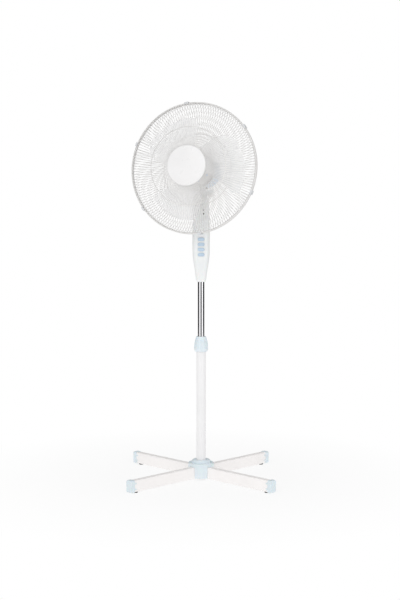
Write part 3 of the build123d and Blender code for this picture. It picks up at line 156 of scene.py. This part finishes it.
# ---------------------------------------------------------------- materials
class Surface:
    """A material under construction: one principled shader fed by procedural textures."""

    def __init__(self, name, stretch=(1, 1, 1)):
        self.material = bpy.data.materials.new(name)
        self.material.use_nodes = True
        self.tree = self.material.node_tree
        self.shader = self.tree.nodes["Principled BSDF"]
        coordinates = self.add("ShaderNodeTexCoord")
        mapping = self.add("ShaderNodeMapping")
        mapping.inputs["Scale"].default_value = stretch
        self.join(coordinates.outputs["Object"], mapping.inputs["Vector"])
        self.place = mapping.outputs["Vector"]
        self.relief = None

    def add(self, kind):
        return self.tree.nodes.new(kind)

    def join(self, source, target):
        self.tree.links.new(source, target)

    def set(self, **values):
        for name, value in values.items():
            self.shader.inputs[name.replace("_", " ")].default_value = value

    def noise(self, scale, detail=4.0, roughness=0.55, distortion=0.0):
        node = self.add("ShaderNodeTexNoise")
        node.inputs["Scale"].default_value = scale
        node.inputs["Detail"].default_value = detail
        node.inputs["Roughness"].default_value = roughness
        node.inputs["Distortion"].default_value = distortion
        self.join(self.place, node.inputs["Vector"])
        return node.outputs["Fac"]

    def cells(self, scale):
        node = self.add("ShaderNodeTexVoronoi")
        node.inputs["Scale"].default_value = scale
        self.join(self.place, node.inputs["Vector"])
        return node.outputs["Distance"]

    def waves(self, scale, direction, distortion=0.0):
        node = self.add("ShaderNodeTexWave")
        node.bands_direction = direction
        node.inputs["Scale"].default_value = scale
        node.inputs["Distortion"].default_value = distortion
        node.inputs["Detail"].default_value = 2.0
        self.join(self.place, node.inputs["Vector"])
        return node.outputs["Fac"]

    def spread(self, source, low, high, start=0.3, end=0.7):
        """The texture's values from start to end, laid out from low to high."""
        node = self.add("ShaderNodeMapRange")
        node.inputs["From Min"].default_value = start
        node.inputs["From Max"].default_value = end
        node.inputs["To Min"].default_value = low
        node.inputs["To Max"].default_value = high
        self.join(source, node.inputs["Value"])
        return node.outputs["Result"]

    def ramp(self, source, *stops):
        node = self.add("ShaderNodeValToRGB")
        elements = node.color_ramp.elements
        elements[0].position = stops[0][0]
        elements[0].color = (*stops[0][1], 1)
        elements[1].position = stops[-1][0]
        elements[1].color = (*stops[-1][1], 1)
        for position, colour in stops[1:-1]:
            elements.new(position).color = (*colour, 1)
        self.join(source, node.inputs["Fac"])
        return node.outputs["Color"]

    def mix(self, share, first, second):
        """Colour first where share is 0 and second where it is 1."""
        node = self.add("ShaderNodeMix")
        node.data_type = "RGBA"
        self.join(share, node.inputs["Factor"])
        for value, socket in ((first, node.inputs[6]), (second, node.inputs[7])):
            if isinstance(value, tuple):
                socket.default_value = (*value, 1)
            else:
                self.join(value, socket)
        return node.outputs[2]

    def distance_from_axis(self, centre, axis):
        """How far a point of the surface is from a line, in metres."""
        offset = self.add("ShaderNodeVectorMath")
        offset.operation = "SUBTRACT"
        self.join(self.place, offset.inputs[0])
        offset.inputs[1].default_value = centre
        across = self.add("ShaderNodeVectorMath")
        across.operation = "CROSS_PRODUCT"
        self.join(offset.outputs["Vector"], across.inputs[0])
        across.inputs[1].default_value = axis
        length = self.add("ShaderNodeVectorMath")
        length.operation = "LENGTH"
        self.join(across.outputs["Vector"], length.inputs[0])
        return length.outputs["Value"]

    def colour(self, source):
        self.join(source, self.shader.inputs["Base Color"])

    def roughness(self, source):
        self.join(source, self.shader.inputs["Roughness"])

    def bump(self, source, depth, strength=1.0):
        """Relief of the given depth in metres, on top of any earlier relief."""
        node = self.add("ShaderNodeBump")
        node.inputs["Strength"].default_value = strength
        node.inputs["Distance"].default_value = depth
        self.join(source, node.inputs["Height"])
        if self.relief is not None:
            self.join(self.relief, node.inputs["Normal"])
        self.relief = node.outputs["Normal"]
        self.join(self.relief, self.shader.inputs["Normal"])


spin = next(joint for joint in frame["joints"] if joint["name"] == "blade_spin")
MOTOR_CENTRE = Vector(spin["pos_m"])
MOTOR_AXIS = Vector(spin["axis"]).normalized()
RIM_START = 0.2100           # distance from the motor axis at which painted shade darkens the wires to the rim
RIM_BLEND = 0.002


def shade(colour, factor):
    return tuple(min(1.0, c * factor) for c in colour)


def moulded(name, colour, rough, grain=2600.0, depth=0.00003, **shader):
    """Injection-moulded plastic: faint flow clouds, a fine spark-eroded grain, handling haze."""
    surface = Surface(name)
    clouds = surface.noise(9.0, 5.0, 0.6, 0.4)
    specks = surface.noise(420.0, 3.0)
    body = surface.mix(surface.spread(clouds, 0, 1), shade(colour, 0.955), shade(colour, 1.02))
    surface.colour(surface.mix(surface.spread(specks, 0, 0.35, 0.45, 0.8), body, shade(colour, 0.9)))
    surface.roughness(surface.spread(surface.noise(35.0, 6.0, 0.65), rough - 0.07, rough + 0.09))
    surface.bump(surface.noise(60.0, 2.0), depth * 3, 0.25)
    surface.bump(surface.noise(grain, 2.0, 0.5), depth, 0.6)
    surface.set(**shader)
    return surface.material


def painted(name, colour, rough, **shader):
    """Powder coat: orange-peel relief, thin and thick places, a little grey dust."""
    surface = Surface(name)
    thick = surface.noise(6.0, 5.0, 0.6)
    dust = surface.noise(150.0, 6.0, 0.7)
    body = surface.mix(surface.spread(thick, 0, 1), shade(colour, 0.96), shade(colour, 1.02))
    surface.colour(surface.mix(surface.spread(dust, 0, 0.3, 0.52, 0.85), body, shade(colour, 0.86)))
    surface.roughness(surface.spread(surface.noise(48.0, 5.0), rough - 0.06, rough + 0.1))
    surface.bump(surface.noise(520.0, 2.0, 0.45), 0.00006, 0.55)
    surface.set(**shader)
    return surface.material


def chromed(name, colour):
    """Polished plate on a drawn tube: lengthwise draw lines, faint haze and finger smears."""
    surface = Surface(name, (1, 1, 0.02))
    lines = surface.noise(900.0, 4.0, 0.6)
    haze = surface.noise(30.0, 5.0, 0.7, 0.8)
    surface.colour(surface.mix(surface.spread(haze, 0, 1), shade(colour, 0.93), colour))
    surface.roughness(surface.spread(haze, 0.05, 0.16))
    surface.bump(lines, 0.000004, 0.35)
    surface.set(Metallic=1.0)
    return surface.material


def metal(name, colour, rough, scale=300.0, depth=0.00004, stretch=(1, 1, 1)):
    """Bare or plated metal with casting or tool grain and darker tarnish in patches."""
    surface = Surface(name, stretch)
    patches = surface.noise(24.0, 6.0, 0.65, 0.5)
    grain = surface.noise(scale, 4.0, 0.6)
    tone = surface.ramp(patches, (0.3, shade(colour, 0.72)), (0.55, colour), (0.75, shade(colour, 1.12)))
    surface.colour(surface.mix(surface.spread(grain, 0, 0.4), tone, shade(colour, 0.8)))
    surface.roughness(surface.spread(grain, rough - 0.1, rough + 0.14))
    surface.bump(grain, depth, 0.5)
    surface.set(Metallic=1.0)
    return surface.material


def windings(name, colour):
    """Enamelled copper wire: strands side by side, glossy varnish, painted shade in the grooves between
    strands.
    """
    surface = Surface(name)
    strands = surface.waves(620.0, "DIAGONAL", 3.0)
    patches = surface.noise(80.0, 4.0)
    tone = surface.mix(surface.spread(patches, 0, 1), shade(colour, 0.7), shade(colour, 1.1))
    # painted shade: the grooves between strands are darkened to a third of the copper colour
    surface.colour(surface.mix(surface.spread(strands, 0.5, 0, 0.0, 0.6), tone, shade(colour, 0.35)))
    surface.roughness(surface.spread(patches, 0.25, 0.42))
    surface.bump(strands, 0.0002, 0.8)
    surface.set(Metallic=0.85, Coat_Weight=0.5)
    return surface.material


def laminations(name, colour):
    """Stacked steel sheets seen edge on."""
    surface = Surface(name)
    sheets = surface.noise(700.0, 2.0)
    rust = surface.noise(120.0, 5.0, 0.7)
    tone = surface.mix(surface.spread(sheets, 0, 1), shade(colour, 0.55), colour)
    surface.colour(surface.mix(surface.spread(rust, 0, 0.5, 0.58, 0.75), tone, (0.22, 0.12, 0.07)))
    surface.roughness(surface.spread(sheets, 0.35, 0.6))
    surface.bump(sheets, 0.0001, 0.7)
    surface.set(Metallic=0.9)
    return surface.material


def rubber(name, colour):
    """Soft black rubber: matt, faintly pitted with painted shade in the pits, patches of pale dust."""
    surface = Surface(name)
    pits = surface.cells(900.0)
    dust = surface.noise(140.0, 6.0, 0.7)
    tone = surface.mix(surface.spread(dust, 0, 0.5, 0.5, 0.8), colour, (0.2, 0.2, 0.2))
    # painted shade: pit centres are darkened to half the rubber colour
    surface.colour(surface.mix(surface.spread(pits, 0.4, 0, 0.0, 0.3), tone, shade(colour, 0.5)))
    surface.roughness(surface.spread(dust, 0.62, 0.85))
    surface.bump(pits, 0.00008, 0.6)
    surface.set(Specular_IOR_Level=0.35)
    return surface.material


def clear_blade(name, colour):
    """Pale translucent styrene: flow marks running out from the hub, soft clouding, fine scuffs."""
    surface = Surface(name)
    flow = surface.noise(14.0, 4.0, 0.6, 1.2)
    scuffs = surface.noise(380.0, 5.0, 0.7)
    surface.colour(surface.mix(surface.spread(flow, 0, 1), shade(colour, 0.94), shade(colour, 1.03)))
    surface.roughness(surface.spread(scuffs, 0.24, 0.42))
    surface.bump(flow, 0.0004, 0.25)
    surface.bump(scuffs, 0.00002, 0.4)
    surface.set(Transmission_Weight=0.7, IOR=1.08, Specular_IOR_Level=0.2, Alpha=0.66)
    return surface.material


def wire_coat(name, colour, rim_shade_colour):
    """Dipped coating on wire: small sags and thick spots; painted shade darkens the thick rim rings."""
    surface = Surface(name)
    sags = surface.noise(260.0, 4.0, 0.6)
    tint = surface.noise(20.0, 4.0)
    body = surface.mix(surface.spread(tint, 0, 1), shade(colour, 0.93), shade(colour, 1.04))
    # painted shade: wires beyond RIM_START from the motor axis are mixed towards the darker rim colour
    reach = surface.distance_from_axis(MOTOR_CENTRE, MOTOR_AXIS)
    body = surface.mix(surface.spread(reach, 0, 1, RIM_START, RIM_START + RIM_BLEND), body, rim_shade_colour)
    surface.colour(surface.mix(surface.spread(sags, 0, 0.35, 0.5, 0.8), body, shade(colour, 0.8)))
    surface.roughness(surface.spread(sags, 0.28, 0.46))
    surface.bump(sags, 0.0001, 0.5)
    return surface.material


SLOT_MATERIALS = {
    "leg_paint": painted("leg_powder_coat", (0.93, 0.905, 0.895), 0.42),
    "pole_paint": painted("pole_enamel", (0.86, 0.855, 0.86), 0.34, Coat_Weight=0.25),
    "blue_plastic": moulded("pale_blue_plastic", (0.75, 0.82, 0.86), 0.38, Subsurface_Weight=0.06),
    "button_plastic": moulded("button_blue_plastic", (0.54, 0.67, 0.80), 0.3, Coat_Weight=0.2),
    "white_plastic": moulded("white_plastic", (0.87, 0.87, 0.865), 0.36, Subsurface_Weight=0.05),
    "cap_plastic": moulded("cap_white_plastic", (0.80, 0.795, 0.795), 0.3, 3200.0, 0.00001),
    "chrome": chromed("chrome_plate", (0.80, 0.80, 0.81)),
    # the second colour of the guard wire is painted shade on the rim rings
    "guard_wire": wire_coat("guard_wire_coat", (0.80, 0.79, 0.78), (0.72, 0.71, 0.70)),
    "clip_plastic": moulded("clip_plastic", (0.66, 0.67, 0.69), 0.34),
    "blade_plastic": clear_blade("blade_styrene", (0.975, 0.98, 0.99)),
    "motor_cover": moulded("motor_cover_plastic", (0.57, 0.71, 0.87), 0.4),
    "dark_plastic": moulded("black_plastic", (0.03, 0.03, 0.033), 0.42, 1800.0, 0.00004),
    "nylon": moulded("natural_nylon", (0.76, 0.74, 0.66), 0.45, Subsurface_Weight=0.15),
    "rubber": rubber("black_rubber", (0.035, 0.035, 0.037)),
    "steel": metal("zinc_plated_steel", (0.60, 0.61, 0.62), 0.34, 700.0, 0.00002),
    "lamination": laminations("steel_laminations", (0.42, 0.43, 0.45)),
    "copper": windings("copper_windings", (0.75, 0.33, 0.14)),
    "cast_alloy": metal("die_cast_alloy", (0.62, 0.63, 0.64), 0.46, 260.0, 0.00008),
}
for part in frame["record"]["subparts"]:
    shown = nodes[part["node"]]
    shown.data.materials.clear()
    shown.data.materials.append(SLOT_MATERIALS[part["material_slot"]])


# ---------------------------------------------------------------- pieces that only the looks need
def new_piece(name, mesh, slot, body):
    """Makes a finished piece from a bmesh and lets it ride on a CAD body."""
    data = bpy.data.meshes.new(name)
    mesh.to_mesh(data)
    mesh.free()
    data.polygons.foreach_set("use_smooth", [True] * len(data.polygons))
    data.materials.append(SLOT_MATERIALS[slot])
    piece = bpy.data.objects.new(name, data)
    scene.collection.objects.link(piece)
    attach(piece, body)


def lathe(mesh, profile, sides, matrix):
    """Turns a list of (radius, height) points about the matrix's own z axis, closed at both ends."""
    rings = []
    for radius, height in profile:
        ring = []
        for step in range(sides):
            angle = 2 * pi * step / sides
            point = Vector((radius * cos(angle), radius * sin(angle), height))
            ring.append(mesh.verts.new(matrix @ point))
        rings.append(ring)
    for lower, upper in zip(rings, rings[1:]):
        for step in range(sides):
            after = (step + 1) % sides
            mesh.faces.new((lower[step], lower[after], upper[after], upper[step]))
    mesh.faces.new(list(reversed(rings[0])))
    mesh.faces.new(rings[-1])


SIGHT_HEIGHTS = (0.893, 0.9055)
SIGHT_SIDE = 0.0075          # both holes lie this far right of the housing's middle
SIGHT_FACE = -0.0195         # where the rim of each dark shade piece sits, just behind the housing's face
SIGHT_RADIUS = 0.0029
SIGHT_DEPTH = 0.004
SIGHT_DOME = ((1.0, 0.0), (0.86, 0.0004), (0.5, 0.0008), (0.1, 0.0009))
SIGHT_SIDES = 24


def build_sight_hole_shade():
    """Small black domed pieces in the two round holes high on the housing's front: painted shade standing
    for the dark inside of the holes.
    """
    mesh = bmesh.new()
    profile = [(SIGHT_RADIUS, -SIGHT_DEPTH)]
    profile += [(SIGHT_RADIUS * share, rise) for share, rise in SIGHT_DOME]
    facing = Matrix.Rotation(pi / 2, 4, "X")
    for height in SIGHT_HEIGHTS:
        seat = Matrix.Translation((SIGHT_SIDE, SIGHT_FACE, height))
        lathe(mesh, profile, SIGHT_SIDES, seat @ facing)
    # the black plastic here is painted shade for the inside of the holes, not a real insert
    new_piece("housing_sight_hole_shade", mesh, "dark_plastic", "mast")


build_sight_hole_shade()


# ---------------------------------------------------------------- floor
def build_floor():
    """A pale paper disc that melts into the white surroundings towards its edge."""
    mesh = bmesh.new()
    bmesh.ops.create_circle(mesh, cap_ends=True, segments=FLOOR_SIDES, radius=FLOOR_RADIUS)
    data = bpy.data.meshes.new("floor")
    mesh.to_mesh(data)
    mesh.free()
    floor = bpy.data.objects.new("floor", data)
    scene.collection.objects.link(floor)
    paper = Surface("floor_paper")
    paper.colour(paper.mix(paper.noise(3.0), (0.93, 0.93, 0.93), (0.95, 0.95, 0.95)))
    paper.set(Roughness=0.9, Specular_IOR_Level=0.1)
    output = paper.tree.nodes["Material Output"]
    away = paper.add("ShaderNodeVectorMath")
    away.operation = "LENGTH"
    paper.join(paper.place, away.inputs[0])
    fade = paper.spread(away.outputs["Value"], FLOOR_GLOW, 1.0, FLOOR_FADE_START, FLOOR_FADE_END)
    white = paper.add("ShaderNodeEmission")
    white.inputs["Strength"].default_value = 1.0
    blend = paper.add("ShaderNodeMixShader")
    paper.join(fade, blend.inputs["Fac"])
    paper.join(paper.shader.outputs[0], blend.inputs[1])
    paper.join(white.outputs[0], blend.inputs[2])
    paper.join(blend.outputs[0], output.inputs["Surface"])
    data.materials.append(paper.material)


build_floor()
